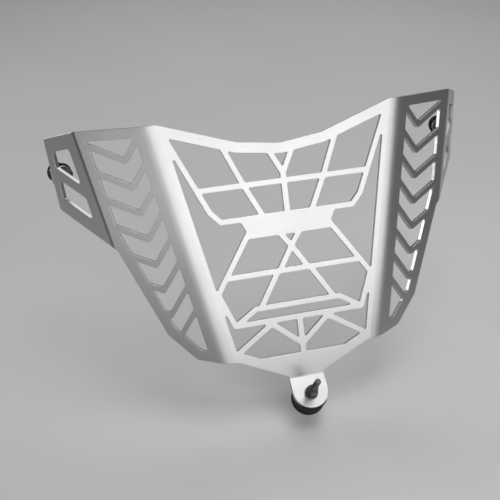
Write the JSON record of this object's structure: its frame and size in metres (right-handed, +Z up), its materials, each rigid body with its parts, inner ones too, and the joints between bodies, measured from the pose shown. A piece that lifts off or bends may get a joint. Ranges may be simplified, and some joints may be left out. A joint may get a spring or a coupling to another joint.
{
  "type": "motorcycle headlight guard",
  "caption": "Folded lattice sheet guard for a motorcycle headlamp, with chevron side panels, windowed ears and rubber isolators with studs at its fixing tabs.",
  "frame": {"origin": "centre of the lower rear stud at its seat on the lower isolator", "axes": "+X to the guard's left-right (right in the picture), +Y towards the rear of the motorcycle, +Z up, with the middle panel raked back as mounted"},
  "size_m": [0.44, 0.2422, 0.2756],
  "materials": {
    "sheet": "satin",
    "rubber": "matte",
    "dark_steel": "black oxide",
    "ring_plastic": "satin"
  },
  "bodies": {
    "root": {"guard_sheet": "sheet", "lower_isolator_rubber": "rubber", "lower_front_stud": "dark_steel", "lower_rear_stud": "dark_steel", "lower_washer": "dark_steel", "lower_lock_nut": "dark_steel", "lower_lock_ring": "ring_plastic", "left_isolator_rubber": "rubber", "left_front_stud": "dark_steel", "left_rear_stud": "dark_steel", "left_washer": "dark_steel", "left_lock_nut": "dark_steel", "left_lock_ring": "ring_plastic", "right_isolator_rubber": "rubber", "right_front_stud": "dark_steel", "right_rear_stud": "dark_steel", "right_washer": "dark_steel", "right_lock_nut": "dark_steel", "right_lock_ring": "ring_plastic"}
  },
  "joints": []
}
